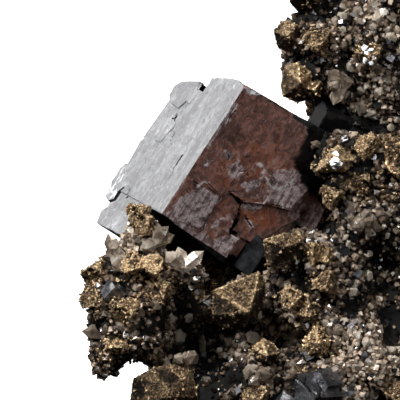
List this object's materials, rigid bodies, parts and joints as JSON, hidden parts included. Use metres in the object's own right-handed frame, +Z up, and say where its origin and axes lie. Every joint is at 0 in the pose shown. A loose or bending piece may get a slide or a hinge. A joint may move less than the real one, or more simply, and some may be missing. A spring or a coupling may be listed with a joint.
{
  "type": "chalcopyrite specimen with galena cube and quartz",
  "caption": "Rough chalcopyrite sphenoids and small quartz points on a flat-cut matrix, with a large stepped galena cube, standing on the cut.",
  "frame": {"origin": "on the plane of the sawn base, under the middle of the specimen's box", "axes": "+Z up out of the sawn base and the longest side of the box, -Y the crystal-covered front that the specimen is shown from, +X to the right as seen from the front"},
  "size_m": [0.089, 0.0632, 0.0988],
  "materials": {
    "galena": "bright lead-grey cleavage faces, the broad front face tarnished red-brown",
    "chalcopyrite": "rough, pitted, brassy to bronze-brown with dark tarnish",
    "quartz": "small clear to milky points, smoky beige",
    "rock": "dark matrix crusted with fine quartz and sulphide grains, sawn flat at the base"
  },
  "bodies": {
    "root": {"chalcopyrite_arm_crest": "chalcopyrite", "chalcopyrite_arm_left": "chalcopyrite", "chalcopyrite_arm_lower": "chalcopyrite", "chalcopyrite_arm_middle": "chalcopyrite", "chalcopyrite_arm_right": "chalcopyrite", "chalcopyrite_arm_top": "chalcopyrite", "chalcopyrite_back_left": "chalcopyrite", "chalcopyrite_back_middle": "chalcopyrite", "chalcopyrite_back_upper": "chalcopyrite", "chalcopyrite_centre_front": "chalcopyrite", "chalcopyrite_crown": "chalcopyrite", "chalcopyrite_crown_right": "chalcopyrite", "chalcopyrite_cube_right": "chalcopyrite", "chalcopyrite_flank_lower": "chalcopyrite", "chalcopyrite_flank_middle": "chalcopyrite", "chalcopyrite_flank_upper": "chalcopyrite", "chalcopyrite_foot_front": "chalcopyrite", "chalcopyrite_foot_left": "chalcopyrite", "chalcopyrite_foot_right": "chalcopyrite", "chalcopyrite_lower_middle": "chalcopyrite", "chalcopyrite_lower_right": "chalcopyrite", "chalcopyrite_middle": "chalcopyrite", "chalcopyrite_middle_right": "chalcopyrite", "chalcopyrite_right_middle": "chalcopyrite", "chalcopyrite_right_outer": "chalcopyrite", "chalcopyrite_right_step": "chalcopyrite", "chalcopyrite_right_upper": "chalcopyrite", "chalcopyrite_top_edge": "chalcopyrite", "chalcopyrite_top_front": "chalcopyrite", "chalcopyrite_top_left": "chalcopyrite", "chalcopyrite_under_cube": "chalcopyrite", "chalcopyrite_under_cube_right": "chalcopyrite", "chalcopyrite_upper_edge": "chalcopyrite", "chalcopyrite_upper_right": "chalcopyrite", "galena_arm": "galena", "galena_back": "galena", "galena_cube": "galena", "galena_flank": "galena", "galena_foot_front": "galena", "quartz_arm_neck": "quartz", "quartz_arm_neck_right": "quartz", "quartz_arm_shoulder": "quartz", "quartz_arm_side": "quartz", "quartz_back": "quartz", "quartz_cavity_floor": "quartz", "quartz_flank": "quartz", "quartz_foot_centre": "quartz", "quartz_right_star": "quartz", "quartz_upper_front": "quartz", "rock": "rock"}
  },
  "joints": []
}
